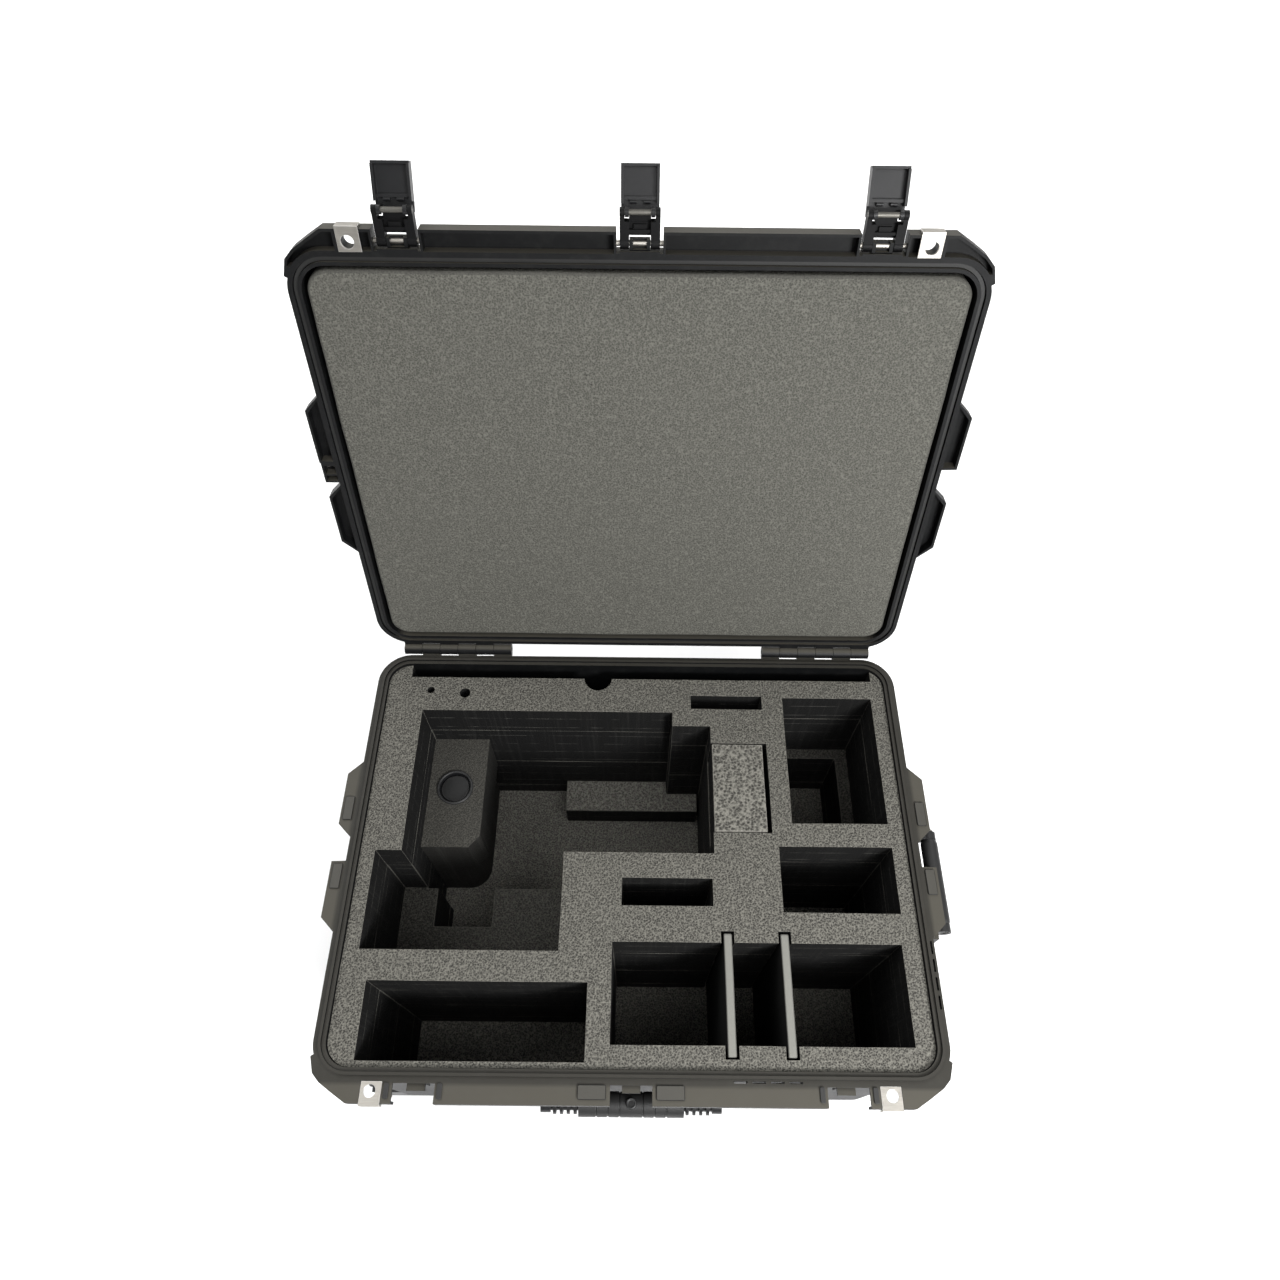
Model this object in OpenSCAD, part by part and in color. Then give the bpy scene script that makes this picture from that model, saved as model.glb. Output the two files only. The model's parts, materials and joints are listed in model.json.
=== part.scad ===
// Wheeled hard carrying case for a drone, open, with a cut foam insert.
// Base bottom centre is the origin, +X right, +Y towards the hinges, +Z up.
// The lid and its latches are drawn closed and then turned about the hinge axis.

/* [Shell] */
// Outer width at the rim
case_w = 632; // [560:1:760]
// Outer depth at the rim, without flanges
case_d = 478; // [430:1:580]
// Height of the base, floor to rim plane
base_h = 320; // [280:1:390]
// Height of the closed lid above the rim plane
lid_h = 58; // [54:1:80]
// Wall thickness of both shells
wall = 4; // [3:0.5:6]
// Width of the rim from the inside wall to its outer edge
rim_w = 12.5; // [11:0.5:16]
// Radius of the rim's outer corners
corner_r = 38; // [30:1:60]
// Depth of the inside below the rim plane
inside_h = 292; // [255:1:294]
// Height of the flanges on each side of the rim plane
flange_h = 14; // [12:1:20]
// How far the front flange stands out
front_flange = 19; // [18:1:26]
// How far the side bosses stand out
side_boss = 15.5; // [12:0.5:20]

/* [Lid] */
// Angle the lid stands open at rest
open_angle = 104.7; // [60:0.1:106]
// Depth of the inside of the lid
lid_inside_h = 44.5; // [40:0.5:44.5]
// Gap between the two rims when closed
rim_gap = 0.4; // [0.2:0.1:0.6]
// Hinge pin diameter
hinge_pin_d = 5; // [4:0.5:6]
// Hinge knuckle radius
knuckle_r = 7; // [6:0.5:8]
// Start of each hinge from the middle
hinge_start = 156; // [120:1:190]
// Length of one hinge knuckle
knuckle_l = 22.2; // [18:0.1:24]

/* [Latches] */
// Distance of the outer latches from the middle
latch_x = 211; // [190:1:230]
// Half width of the opening in the flanges
latch_gap = 20.5; // [20:0.5:24]
// Half width of the latch link
link_w = 17.5; // [16:0.5:18]
// Distance from the latch pivot to the lever pin
link_l = 26; // [24:0.5:30]
// Length of the lever below its pin
lever_l = 35; // [28:1:42]
// Diameter of the latch pins
latch_pin_d = 5; // [4:0.5:5.5]

/* [Handles] */
// Length of the front handle
front_handle_l = 186; // [150:1:210]
// Drop from the front handle's pivot to its grip
front_handle_drop = 48; // [40:1:58]
// Length of the side handle
side_handle_l = 112; // [96:1:130]
// Middle of the side handle along the side
side_handle_y = -31; // [-40:1:-20]

/* [Trolley and wheels] */
// Half spacing of the trolley tubes
trolley_y = 70; // [55:1:80]
// Outer diameter of the fixed sleeves
sleeve_d = 22; // [20:0.5:22]
// Wall of the trolley tubes
tube_t = 1; // [0.8:0.1:1.4]
// Gap between sliding tubes
tube_gap = 0.4; // [0.35:0.05:0.6]
// Wheel diameter
wheel_d = 48; // [40:1:50]
// Wheel width
wheel_w = 26; // [20:1:28]
// Axle bolt diameter
axle_d = 8; // [6:0.5:10]

/* [Foam] */
// Gap between the foam top and the rim plane
foam_drop = 4; // [2:0.5:8]
// Gap between the foam and the walls
foam_gap = 0.5; // [0.3:0.1:2]
// Divider thickness
divider_t = 9; // [6:0.5:10]

/* [Hidden] */
$fn = 48;

shell_col = "#26272a";
foam_col = "#55524c";
lid_foam_col = "#6b6961";
steel_col = "#c9ccd0";
rubber_col = "#37383a";
eps = 0.01;
pin_gap = 0.05;
fit = 0.02;

// shell
half_w = case_w / 2;
half_d = case_d / 2;
in_w = half_w - rim_w;
in_d = half_d - rim_w;
in_r = corner_r - rim_w;
out_w = in_w + wall;
out_d = in_d + wall;
out_r = in_r + wall;
rim_band = 10;
floor_z = base_h - inside_h;
skirt_z = 6;
chamfer = 10;
boss_x = half_w + side_boss;
flange_y = half_d + front_flange;
flange_t = 3;
// the flange's corner, inwards and outwards from the rim's own corner
flange_corner = [[0, -22], [4.5, -7], [12.2, 0.9], [25.4, 9.5]];
flange_taper = 41;
rim_lap = 6;
tongue_inset = 5.4;
tongue_w = 3;
tongue_h = 2.8;
groove_w = 4.6;
groove_h = 5.6;

// side bosses, front to back, as [start, end, start slope, end slope]
front_boss = [-98, -22, 15, 0.5];
back_boss = [5, 95, 15, 15];

// hinges
hinge_y = half_d + 9.3;
hinge_z = base_h;
knuckle_gap = 0.5;
knuckles = 6;

// latches, measured from the pivot with the latch closed
latch_py = -(half_d + 7);
latch_pz = base_h + 8;
roller_y = 1;
// how far each lever is lifted off its link at rest
lever_rest = 18;
keeper_w = 9;
keeper_t = 4;

// padlock plates
plate_x = case_w * 0.3987;
plate_w = 20.5;
plate_y = half_d + 8.5;
lock_r = 6.2;

// pads on the flanges
pad_h = 2;
front_pad = [27.5, 13];
side_pad = [10.5, 27.5];

// handles
handle_y = -(half_d + 8);
handle_z = base_h - 24;
handle_pin_r = 3;
grip_r = 12;
grip_y = handle_y - 5;
grip_z = handle_z - front_handle_drop;
side_px = out_w + 11;
side_pz = base_h - flange_h - 12;
side_reach = 17.5;

// trolley
tube_z = sleeve_d / 2 + 1;
sleeve_l = 440;
sleeve_x = out_w - 12;
mid_d = sleeve_d - 2 * tube_t - 2 * tube_gap;
inner_d = mid_d - 2 * tube_t - 2 * tube_gap;
grip_x = out_w + 25;

// wheels
wheel_x = -(out_w + 1);
wheel_z = wheel_d / 2 + 4;
wheel_y = out_d - 4.5 - 3 - wheel_w / 2 - 1;
well_x = wheel_x + wheel_d / 2 + 1.5;
well_z = wheel_z + wheel_d / 2 + 6;
well_y = wheel_y - wheel_w / 2 - 8;
bearing_r = 8;
hub_r = wheel_d / 2 - 7;

// foam, heights below the rim plane
foam_w = in_w - foam_gap;
foam_d = in_d - foam_gap;
foam_r = in_r - foam_gap;
seam_1 = 60;
seam_2 = 156;
seam_3 = 241;
seam_4 = 266;

// ---------- shared shapes ----------

module rounded(w, d, r) {
    square([2 * w - 2 * r, 2 * d], center = true);
    square([2 * w, 2 * d - 2 * r], center = true);
    for (sx = [-1, 1], sy = [-1, 1])
        translate([sx * (w - r), sy * (d - r)]) circle(r, $fn = 96);
}

module slab(w, d, r, z0, z1) {
    translate([0, 0, z0]) linear_extrude(z1 - z0) rounded(w, d, r);
}

module block(a, b) {
    translate(a) cube([b[0] - a[0], b[1] - a[1], b[2] - a[2]]);
}

module rod_x(r, x0, x1, y, z) {
    translate([x0, y, z]) rotate([0, 90, 0]) cylinder(r = r, h = x1 - x0);
}

module rod_y(r, y0, y1, x, z) {
    translate([x, y1, z]) rotate([90, 0, 0]) cylinder(r = r, h = y1 - y0);
}

module both_sides() {
    children();
    mirror([1, 0, 0]) children();
}

module on_lid() {
    translate([0, hinge_y, hinge_z])
        rotate([-open_angle, 0, 0])
            translate([0, -hinge_y, -hinge_z]) children();
}

module rim_ring(inset, w, z0, z1) {
    translate([0, 0, z0]) linear_extrude(z1 - z0) difference() {
        rounded(half_w - inset, half_d - inset, corner_r - inset);
        rounded(half_w - inset - w, half_d - inset - w, corner_r - inset - w);
    }
}

// outline of a side boss on the right, from the wall out to boss_x
module boss_outline(b, grow) {
    polygon([[out_w - 2, b[0] - grow], [half_w, b[0] - grow], [boss_x + grow, b[0] + b[2] - grow],
        [boss_x + grow, b[1] - b[3] + grow], [half_w, b[1] + grow], [out_w - 2, b[1] + grow]]);
}

// front flange, its corners eased into the rim's and its back edge inside the rim
module flange_outline(grow) {
    ease = 0.7 * grow;
    inner_r = corner_r - rim_lap;
    corner = [for (p = flange_corner) [half_w - p[0] + ease, half_d + p[1] + ease]];
    inner = [for (a = [70, 45, 20])
        [half_w - corner_r + inner_r * cos(a), half_d - corner_r + inner_r * sin(a)]];
    tip = half_w - flange_taper + grow / 2;
    polygon([
        for (p = corner) [-p[0], -p[1]],
        [-tip, -flange_y - grow],
        [tip, -flange_y - grow],
        for (i = [3:-1:0]) [corner[i][0], -corner[i][1]],
        for (i = [2:-1:0]) [inner[i][0], -inner[i][1]],
        for (i = [0:2]) [-inner[i][0], -inner[i][1]]
    ]);
}

// ---------- shells ----------

module wall_panel_x(x, w, out, z0, z1) {
    for (s = [-1, 1]) translate([x, s * (out_d + out / 2 - 4), (z0 + z1) / 2])
        cube([w, out + 8, z1 - z0], center = true);
}

module wall_panel_y(y, w, out, z0, z1) {
    for (s = [-1, 1]) translate([s * (out_w + out / 2 - 4), y, (z0 + z1) / 2])
        cube([out + 8, w, z1 - z0], center = true);
}

// hollow strengthening panels around the tub, with shrink taken off for their inside
module tub_panels(shrink) {
    z0 = 70 + shrink;
    z1 = 280 - shrink;
    for (x = [-1, 1]) wall_panel_x(x * case_w * 0.29, 74 - 2 * shrink, 6 - shrink, z0, z1);
    for (y = [-1, 1]) wall_panel_y(y * case_d * 0.29, 60 - 2 * shrink, 6 - shrink, z0, z1);
}

module base_tub() {
    difference() {
        union() {
            slab(out_w, out_d, out_r, skirt_z + chamfer, base_h - rim_band / 2);
            hull() {
                slab(out_w - 8, out_d - 8, out_r - 8, skirt_z, skirt_z + 0.1);
                slab(out_w, out_d, out_r, skirt_z + chamfer, skirt_z + chamfer + 0.1);
            }
            slab(half_w, half_d, corner_r, base_h - rim_band, base_h);
            tub_panels(0);
        }
        slab(in_w, in_d, in_r, floor_z, base_h + 1);
        difference() {
            tub_panels(3.2);
            slab(in_w - 1, in_d - 1, in_r - 1, 0, base_h);
        }
        slab(out_w - 10.5, out_d - 10.5, out_r - 10.5, -1, floor_z - wall);
        wheel_notches(0);
    }
}

module wheel_notches(grow) {
    for (s = [-1, 1]) block([-half_w - 30, s > 0 ? well_y - grow : -half_d - 30, -1],
        [well_x + grow, s > 0 ? half_d + 30 : -well_y + grow, well_z + grow]);
}

module wheel_wells() {
    intersection() {
        difference() {
            wheel_notches(3);
            wheel_notches(0);
        }
        slab(out_w - 1, out_d - 1, out_r, skirt_z + 2, base_h - 20);
    }
}

module under_ribs() {
    for (y = [112, 186], s = [-1, 1]) block([-250, s * y - 4, 0], [285, s * y + 4, floor_z - wall + 1]);
    block([-250, -4, 0], [285, 4, floor_z - wall + 1]);
    for (x = [-200:100:200], s = [0, 1]) mirror([0, s, 0])
        block([x - 1.5, 108, 12], [x + 1.5, out_d - 11, floor_z - wall + 1]);
}

module base_flanges() {
    // front flange: top plate and outer skirt
    difference() {
        translate([0, 0, base_h - flange_h]) linear_extrude(flange_h) flange_outline(0);
        translate([0, 0, base_h - flange_h - 1]) linear_extrude(flange_h + 1 - flange_t)
            intersection() {
                flange_outline(-2.5);
                translate([-case_w / 2, -flange_y]) square([case_w, flange_y - half_d]);
            }
    }
    both_sides() for (b = [front_boss, back_boss]) difference() {
        translate([0, 0, base_h - flange_h]) linear_extrude(flange_h) boss_outline(b, 0);
        translate([0, 0, base_h - flange_h - 1]) linear_extrude(flange_h + 1 - flange_t)
            intersection() {
                boss_outline(b, -2.5);
                translate([half_w + 0.5, -half_d]) square([side_boss, case_d]);
            }
    }
}

module keepers() {
    for (x = [-latch_x, 0, latch_x]) translate([x, 0, 0]) {
        block([-keeper_w, -half_d - 7, latch_pz - link_l + latch_pin_d / 2 + 0.6],
            [keeper_w, -out_d + 1, latch_pz - link_l + latch_pin_d / 2 + 0.6 + keeper_t]);
        for (s = [-6.5, 6.5])
            block([s - 1.5, -half_d - 0.5, base_h - 40], [s + 1.5, -out_d + 1, base_h - 14]);
    }
}

module latch_gaps(z0, z1) {
    for (x = [-latch_x, 0, latch_x])
        block([x - latch_gap, -flange_y - 5, z0], [x + latch_gap, -half_d - 1, z1]);
}

function knuckle_at(i) = hinge_start + i * knuckle_l;

module knuckle(i, arm_z0, arm_z1) {
    x0 = knuckle_at(i) + knuckle_gap / 2;
    x1 = knuckle_at(i + 1) - knuckle_gap / 2;
    rod_x(knuckle_r, x0, x1, hinge_y, hinge_z);
    block([x0, half_d - 6, arm_z0], [x1, hinge_y, arm_z1]);
}

module hinge_bores(r) {
    both_sides() rod_x(r, hinge_start - 2, knuckle_at(knuckles) + 2, hinge_y, hinge_z);
}

module front_lugs() {
    for (s = [-1, 1]) {
        x = s * (front_handle_l / 2 + 5);
        block([x - 4, handle_y - 8, handle_z - 8], [x + 4, -out_d + 1, base_h - flange_h + 1]);
    }
}

module side_lugs() {
    for (s = [-1, 1]) {
        y = side_handle_y + s * (side_handle_l / 2 + 5);
        block([out_w - 1, y - 4, side_pz - 8], [side_px + 8, y + 4, base_h - flange_h + 1]);
        block([out_w - 1, y - 4, base_h - flange_h], [half_w + 3, y + 4, base_h - 2]);
    }
}

module lock_holes(z0, z1) {
    both_sides() translate([plate_x + 1, -plate_y + 0.5, z0]) cylinder(r = lock_r, h = z1 - z0);
}

module rim_slots() {
    for (i = [0:3]) {
        x = 100 + i * 18;
        y = -168 + i * 18;
        block([x, -half_d + 1.6, base_h - 20], [x + 13, -half_d + 3.6, base_h + 5]);
        block([half_w - 4.2, y, base_h - 20], [half_w - 2.2, y + 13, base_h + 5]);
    }
}

module base_shell() {
    color(shell_col) difference() {
        union() {
            base_tub();
            wheel_wells();
            under_ribs();
            base_flanges();
            rim_ring(tongue_inset, tongue_w, base_h - 1, base_h + tongue_h);
            both_sides() for (i = [0:2:knuckles - 1]) knuckle(i, base_h - 8, base_h - 1);
            front_lugs();
            side_lugs();
        }
        latch_gaps(base_h - 30, base_h + 5);
        lock_holes(base_h - 30, base_h + 5);
        plate_seats(base_h - 2.2);
        rim_slots();
        hinge_bores(hinge_pin_d / 2 + fit);
        // handle pin bores
        rod_x(handle_pin_r + fit, -half_w + 60, half_w - 60, handle_y, handle_z);
        rod_y(handle_pin_r + fit, side_handle_y - side_handle_l / 2 - 12,
            side_handle_y + side_handle_l / 2 + 12, side_px, side_pz);
        // trolley sleeves leave through the right skirt
        for (s = [-1, 1]) {
            rod_x(sleeve_d / 2 + 0.3, out_w - 40, out_w + 5, s * trolley_y, tube_z);
            block([out_w - 40, s * trolley_y - sleeve_d / 2 - 0.3, -1],
                [out_w + 5, s * trolley_y + sleeve_d / 2 + 0.3, tube_z]);
        }
        bracket_screws(2 + pin_gap, floor_z - 1);
        // pressure valve seat in the front wall
        rod_y(6 + fit, -out_d - 1, -in_d + 1, 130, base_h - 44);
    }
    color(shell_col) keepers();
}

module lid_tub() {
    z0 = base_h + rim_gap;
    top_z = base_h + lid_inside_h + wall;
    difference() {
        union() {
            slab(half_w, half_d, corner_r, z0, base_h + 9);
            slab(out_w, out_d, out_r, base_h + 8, top_z - 8);
            hull() {
                slab(out_w, out_d, out_r, top_z - 8.1, top_z - 8);
                slab(out_w - 7, out_d - 7, out_r - 7, top_z - 0.1, top_z);
            }
            lid_ribs(0, base_h + lid_h);
        }
        slab(in_w, in_d, in_r, base_h - 1, top_z - wall - 8);
        hull() {
            slab(in_w - 0.6, in_d - 0.6, in_r - 0.6, top_z - wall - 8.1, top_z - wall - 8);
            slab(in_w - 8, in_d - 8, in_r - 8, top_z - wall - 0.1, top_z - wall);
        }
        lid_ribs(3, base_h + lid_h - 3);
    }
}

// raised hollow bars over the lid, the same shape shrunk for their inside
module lid_ribs(shrink, z1) {
    for (y = [-1.5:1:1.5]) translate([0, y * case_d * 0.225, base_h + lid_inside_h - eps])
        linear_extrude(z1 - base_h - lid_inside_h + eps)
            rounded(in_w * 0.86 - shrink, case_d * 0.073 - shrink, 14 - shrink);
}

module lid_flanges() {
    z0 = base_h + rim_gap;
    translate([0, 0, z0]) linear_extrude(flange_h - rim_gap) flange_outline(0);
    both_sides() for (b = [front_boss, back_boss])
        translate([0, 0, z0]) linear_extrude(flange_h - rim_gap) boss_outline(b, 0);
    // box at the end of the left front boss
    block([-boss_x + 1, -24, z0], [-out_w, 1.5, base_h + flange_h]);
}

module lid_flange_pockets() {
    z0 = base_h - 1;
    z1 = base_h + flange_h - flange_t;
    y0 = -flange_y + 2.5;
    y1 = -half_d - 0.4;
    g = latch_gap + 2;
    both_sides() {
        block([g, y0, z0], [latch_x - g, y1, z1]);
        block([latch_x + g, y0, z0], [plate_x - plate_w / 2 + 1.5, y1, z1]);
        for (b = [front_boss, back_boss]) translate([0, 0, z0]) linear_extrude(z1 - z0) intersection() {
            boss_outline(b, -2.5);
            translate([half_w + 0.6, -half_d]) square([side_boss, case_d]);
        }
        translate([0, 0, z0]) linear_extrude(z1 - z0) difference() {
            intersection() {
                flange_outline(-2.5);
                translate([plate_x + plate_w / 2 + 3, -flange_y]) square([half_w, flange_y - half_d + 14]);
            }
            rounded(half_w + 0.6, half_d + 0.6, corner_r);
        }
    }
    block([-boss_x + 3.5, -19, z0], [-half_w - 0.6, -9, z1]);
    block([-boss_x + 3.5, -7, z0], [-half_w - 0.6, -1, z1]);
    for (x = [3.5, 9.5]) block([-half_w - x - 3, -17, z0], [-half_w - x, -11, base_h + 20]);
}

module lid_latch_seat() {
    for (x = [-latch_x, 0, latch_x]) translate([x, 0, 0]) {
        difference() {
            union() {
                block([-9, latch_py - 4, latch_pz - 4], [9, -half_d + 2, latch_pz + 4]);
                block([-link_w, -half_d - 2.5, base_h + rim_gap], [link_w, -half_d + 2, base_h + 1.8]);
            }
            block([-6, latch_py - 5, latch_pz - 5], [6, -half_d - 3, latch_pz]);
        }
    }
}

module lid_shell() {
    color(shell_col) on_lid() difference() {
        union() {
            difference() {
                union() {
                    lid_tub();
                    lid_flanges();
                }
                lid_flange_pockets();
                latch_gaps(base_h - 5, base_h + 30);
            }
            lid_latch_seat();
            both_sides() for (i = [1:2:knuckles - 1]) knuckle(i, base_h + rim_gap, base_h + 7);
        }
        rim_ring(tongue_inset - 0.8, groove_w, base_h - 1, base_h + groove_h);
        lock_holes(base_h - 5, base_h + 30);
        translate([0, 0, base_h + rim_gap - 1]) linear_extrude(3.2) plate_outline(0.2, 4);
        hinge_bores(hinge_pin_d / 2 + pin_gap);
        for (x = [-latch_x, 0, latch_x])
            rod_x(latch_pin_d / 2 + fit, x - latch_gap - 1.6, x + latch_gap + 1.6, latch_py, latch_pz);
    }
}

module lid_gasket() {
    color("#1b1b1c") on_lid()
        rim_ring(tongue_inset - 0.6, groove_w - 0.4, base_h + tongue_h + 0.25, base_h + groove_h - fit);
}

module hinge_pins() {
    color(steel_col) both_sides()
        rod_x(hinge_pin_d / 2, knuckle_at(0) + 1, knuckle_at(knuckles) - 1, hinge_y, hinge_z);
}

// reaches past the flange's outer edge by reach
module plate_outline(grow, reach) {
    both_sides() translate([plate_x - plate_w / 2 - grow, -flange_y - reach])
        square([plate_w + 2 * grow, front_flange + reach + 0.5 + grow]);
}

module plate_seats(z0) {
    translate([0, 0, z0]) linear_extrude(5) plate_outline(0.2, 4);
}

// the lip folds down over the flange's outer edge
module padlock_plates(z0, lip) {
    difference() {
        union() {
            translate([0, 0, z0]) linear_extrude(2) plate_outline(0, 2.4);
            both_sides() block([plate_x - plate_w / 2, -flange_y - 2.4, min(z0, z0 + lip)],
                [plate_x + plate_w / 2, -flange_y - 0.4, max(z0 + 2, z0 + lip)]);
        }
        both_sides() translate([plate_x + 1, -plate_y + 0.5, z0 - 1]) cylinder(r = lock_r - 0.4, h = 4);
    }
}

module base_padlock_plates() {
    color(steel_col) padlock_plates(base_h - 2.05, -9);
}

module lid_padlock_plates() {
    color(steel_col) on_lid() padlock_plates(base_h + rim_gap + 0.05, 10);
}

// ---------- pads, valve ----------

module pad(w, d, x, y, z) {
    translate([x, y, z]) linear_extrude(pad_h) rounded(w / 2, d / 2, 1.5);
}

module front_flange_pads() {
    color(rubber_col) both_sides() pad(front_pad[0], front_pad[1], 38.2, -half_d - 7.4, base_h);
}

module side_flange_pads() {
    color(rubber_col) both_sides() {
        pad(side_pad[0], side_pad[1], half_w + 7, front_boss[1] - 17, base_h);
        pad(side_pad[0], side_pad[1], half_w + 7, back_boss[0] + 33, base_h);
    }
}

module flange_bumpers() {
    color(rubber_col) both_sides() for (s = [-1, 1])
        pad(5, 14, latch_x + s * (latch_gap + 5.3), -half_d - 7.9, base_h);
}

module pressure_valve() {
    color(rubber_col) difference() {
        union() {
            rod_y(6, -out_d, -in_d - 0.1, 130, base_h - 44);
            rod_y(11, -out_d - 3, -out_d, 130, base_h - 44);
            translate([130, -out_d - 3, base_h - 44]) rotate([90, 0, 0]) cylinder(r = 8, h = 3, $fn = 6);
        }
        rod_y(2, -out_d - 8, -in_d + 1, 130, base_h - 44);
    }
}

module pressure_valve_cap() {
    color("#5b5e63") rod_y(6.5, -out_d - 8, -out_d - 6, 130, base_h - 44);
}

// ---------- foam ----------

main_pocket = [[-258, 165], [44, 165], [44, 147], [89, 147], [89, -8], [-78, -8], [-78, -114],
    [-287, -114], [-287, -8], [-258, -8]];
main_deep = [[-258, 165], [44, 165], [44, 147], [89, 147], [89, -8], [-258, -8]];

module cut(x0, y0, x1, y1) {
    translate([x0, y0]) square([x1 - x0, y1 - y0]);
}

// pockets that run from the foam top down to the lowest seam
module deep_pockets() {
    cut(161, -72, 287, 0.5);
    cut(-22, -203.5, 283, -104);
    cut(93, -216, 107, -92);
    cut(153.5, -216, 167, -92);
    cut(-274, -220, -46.5, -145);
}

module saddle_notch() {
    cut(-245, -55, -175, -7);
}

module document_slot() {
    cut(-277, in_d - 16.5, 289, in_d + 5);
}

module foam_sheet(top, bottom) {
    translate([0, 0, base_h - bottom]) linear_extrude(bottom - top) difference() {
        rounded(foam_w, foam_d, foam_r);
        children();
    }
}

module foam_layer_top() {
    color(foam_col) foam_sheet(foam_drop, seam_1) {
        union() {
            polygon(main_pocket);
            deep_pockets();
            document_slot();
            cut(178, 27.5, 286, 186);
            cut(66.5, 170, 153, 188);
            cut(-13, -66, 86, -36);
            cut(88, 16, 155, 125);
            translate([-47, in_d - 15.5]) circle(17);
            translate([-251, 192]) circle(4.5);
            translate([-209, 188.5]) circle(6.5);
        }
    }
}

module foam_layer_upper() {
    color(foam_col) foam_sheet(seam_1, seam_2) {
        union() {
            polygon(main_pocket);
            deep_pockets();
            document_slot();
            cut(178, 27.5, 286, 186);
            cut(66.5, 170, 153, 188);
            cut(-13, -66, 86, -36);
        }
    }
}

module foam_layer_lower() {
    color(foam_col) foam_sheet(seam_2, seam_3) {
        union() {
            polygon(main_deep);
            saddle_notch();
            deep_pockets();
            cut(178, 27.5, 270, 173);
        }
    }
}

module foam_layer_base() {
    color(foam_col) difference() {
        foam_sheet(seam_3, seam_4) {
            union() {
                polygon(main_deep);
                saddle_notch();
                deep_pockets();
                cut(178, 27.5, 270, 173);
            }
        }
        wheel_notches(3.5);
    }
}

module foam_floor_pad() {
    color(foam_col) difference() {
        slab(foam_w, foam_d, foam_r, floor_z, base_h - seam_4);
        block([-274, -220, floor_z + 7], [-46.5, -145, base_h]);
        wheel_notches(3.5);
    }
}

arm_top = base_h - 87;
cup_at = [-225, 98.5];
cup_r = 22.5;

module foam_arm_block() {
    color(foam_col) difference() {
        union() {
            translate([0, 0, base_h - 166]) linear_extrude(arm_top - base_h + 166)
                polygon([[-257.5, 164.5], [-188, 164.5], [-188, 37], [-201, 22.5], [-257.5, 22.5]]);
            translate([0, 0, base_h - seam_4]) linear_extrude(seam_4 - 166) {
                cut(-257.5, 22.5, -226, 164.5);
                cut(-257.5, 50.5, -198, 164.5);
                translate([-226, 50.5]) circle(28);
            }
        }
        translate([cup_at[0], cup_at[1], arm_top - 16]) cylinder(r = cup_r + pin_gap, h = 20);
    }
}

module arm_block_cup() {
    color("#202123") translate([cup_at[0], cup_at[1], arm_top - 16]) rotate_extrude($fn = 96)
        polygon([[0, 0], [cup_r, 0], [cup_r, 17.5], [cup_r - 1, 18.4], [cup_r - 2.6, 18.4],
            [cup_r - 3.4, 17.4], [cup_r - 3.8, 9], [cup_r - 5, 9], [cup_r - 5, 12],
            [cup_r - 6, 13], [0, 13]]);
}

module foam_cross_bar() {
    color(foam_col) translate([0, 0, base_h - seam_4]) linear_extrude(seam_4 - 223) difference() {
        cut(-97, 120, 86, 164.5);
        cut(43.6, 146.6, 90, 170);
    }
}

module foam_plug() {
    color(foam_col) block([90, 17, base_h - seam_1 + fit], [150, 124.3, base_h - foam_drop]);
}

module divider(x) {
    color("#2e2f31") translate([x, -154, 0]) rotate([90, 0, 90]) translate([0, 0, -divider_t / 2])
        linear_extrude(divider_t) translate([0, (base_h - foam_drop + base_h - seam_4) / 2])
            rounded(60, (seam_4 - foam_drop) / 2, 3);
}

module divider_left() {
    divider(100);
}

module divider_right() {
    divider(160);
}

module lid_foam() {
    top_z = base_h + lid_inside_h;
    color(lid_foam_col) on_lid() {
        slab(in_w - 4, in_d - 4, in_r - 4, base_h + 1, top_z - 9);
        slab(in_w - 10, in_d - 10, in_r - 10, top_z - 10, top_z - fit);
    }
}

// ---------- latches ----------

module at_latch(x) {
    on_lid() translate([x, latch_py, latch_pz]) rotate([-90, 0, 0]) children();
}

module latch_pivot_pins() {
    color(steel_col) on_lid() for (x = [-latch_x, 0, latch_x])
        rod_x(latch_pin_d / 2, x - latch_gap - 1.5, x + latch_gap + 1.5, latch_py, latch_pz);
}

module latch_link() {
    arm_in = 13.4;
    color(shell_col) difference() {
        union() {
            for (s = [-1, 1]) {
                x0 = s > 0 ? 9.4 : -link_w;
                x1 = s > 0 ? link_w : -9.4;
                rod_x(5, x0, x1, 0, 0);
                block([x0, -5, -link_l + 7], [x1, 4, 0]);
                a0 = s > 0 ? arm_in : -link_w;
                a1 = s > 0 ? link_w : -arm_in;
                block([a0, -5, -link_l], [a1, 4, -link_l + 8]);
                rod_x(4, a0, a1, roller_y, -link_l);
            }
            block([-9.5, -5, -link_l + 8.5], [9.5, -1.5, -6.2]);
            block([-9.5, -5, -link_l + 1], [9.5, -2, -link_l + 9]);
            block([-9.5, -5, -link_l + 14], [9.5, 2.5, -link_l + 16.5]);
            block([-5.5, -2, -link_l + 10], [5.5, 0.8, -8]);
        }
        rod_x(latch_pin_d / 2 + pin_gap, -link_w - 1, link_w + 1, 0, 0);
        rod_x(latch_pin_d / 2 + fit, -link_w - 1, link_w + 1, roller_y, -link_l);
    }
}

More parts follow.
